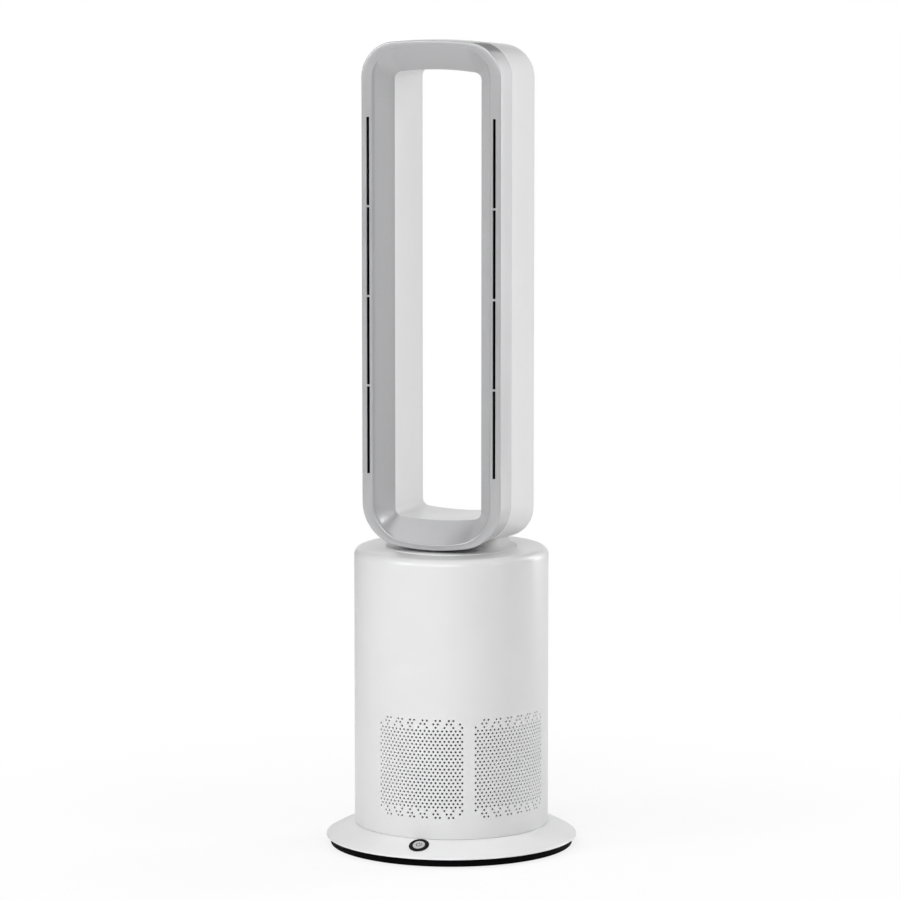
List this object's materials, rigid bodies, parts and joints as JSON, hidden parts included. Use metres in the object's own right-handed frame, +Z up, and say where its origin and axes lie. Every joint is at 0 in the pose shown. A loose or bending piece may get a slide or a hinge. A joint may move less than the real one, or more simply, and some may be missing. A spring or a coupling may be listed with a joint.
{
  "type": "bladeless fan",
  "caption": "Bladeless tower fan: a swinging round body with pierced intake panels on a domed base blows air out of the rims of a tall open loop.",
  "frame": {"origin": "middle of the base at floor level, on the axis that the body swings round", "axes": "+Z up, the front of the loop faces -Y, +X is to the right of a viewer who faces the front"},
  "size_m": [0.3, 0.2996, 0.962],
  "materials": {
    "white_plastic": "satin white ABS",
    "silver_paint": "satin silver grey paint on ABS",
    "black_plastic": "fine matt black ABS",
    "grey_plastic": "satin light grey ABS",
    "rubber": "matt rubber",
    "foam_rubber": "closed cell foam",
    "inner_plastic": "matt natural ABS",
    "acetal": "smooth acetal",
    "zinc_steel": "zinc plated steel",
    "polished_steel": "ground steel",
    "filter_paper": "pleated non-woven",
    "circuit_board": "green solder mask"
  },
  "bodies": {
    "base": {"base_pan": "black_plastic", "rubber_feet": "rubber", "ballast_ring": "zinc_steel", "base_cover": "white_plastic", "base_screws": "zinc_steel", "pivot_post": "acetal", "retaining_ring": "zinc_steel", "slide_ring": "acetal", "swing_gear": "acetal", "power_inlet": "black_plastic", "button_bezel": "black_plastic", "button_board": "circuit_board"},
    "button": {"power_button": "grey_plastic"},
    "tower": {"turntable": "inner_plastic", "swing_motor": "zinc_steel", "casing_screws": "zinc_steel", "body_casing": "white_plastic", "intake_panel_1": "white_plastic", "intake_panel_2": "white_plastic", "intake_panel_3": "white_plastic", "intake_panel_4": "white_plastic", "filter_frame": "inner_plastic", "filter_media": "filter_paper", "main_board": "circuit_board", "inlet_bellmouth": "inner_plastic", "shroud_gasket": "foam_rubber", "fan_shroud": "inner_plastic", "stator": "inner_plastic", "fan_motor": "zinc_steel", "motor_bearings": "polished_steel", "motor_cap": "inner_plastic", "air_duct": "inner_plastic", "neck_gasket": "foam_rubber", "neck_collar": "white_plastic", "loop_screws": "zinc_steel", "loop_clamp": "inner_plastic", "loop_rear_shell": "white_plastic", "loop_front_frame": "silver_paint", "nozzle_strip_left": "black_plastic", "nozzle_strip_right": "black_plastic"},
    "pinion": {"swing_pinion": "acetal"},
    "impeller": {"rotor_shaft": "polished_steel", "impeller": "black_plastic", "impeller_nut": "zinc_steel"}
  },
  "joints": [
    {"name": "swing", "type": "hinge", "parent": "base", "child": "tower", "pos_m": [0, 0, 0.0272], "axis": [0, 0, 1], "range_deg": [-40, 40]},
    {"name": "pinion_spin", "type": "hinge", "parent": "tower", "child": "pinion", "pos_m": [0.05855, 0, 0.013], "axis": [0, 0, 1], "range_deg": [-135, 135]},
    {"name": "impeller_spin", "type": "hinge", "parent": "tower", "child": "impeller", "pos_m": [0, 0, 0.2], "axis": [0, 0, 1], "continuous": true},
    {"name": "button_press", "type": "slide", "parent": "base", "child": "button", "axis": [-0.0183, 0.4031, -0.915], "range_m": [0, 0.0008], "stiffness_N_per_m": 600}
  ],
  "couplings": [
    {"joint": "pinion_spin", "follows": "swing", "ratio": 3.3333}
  ]
}
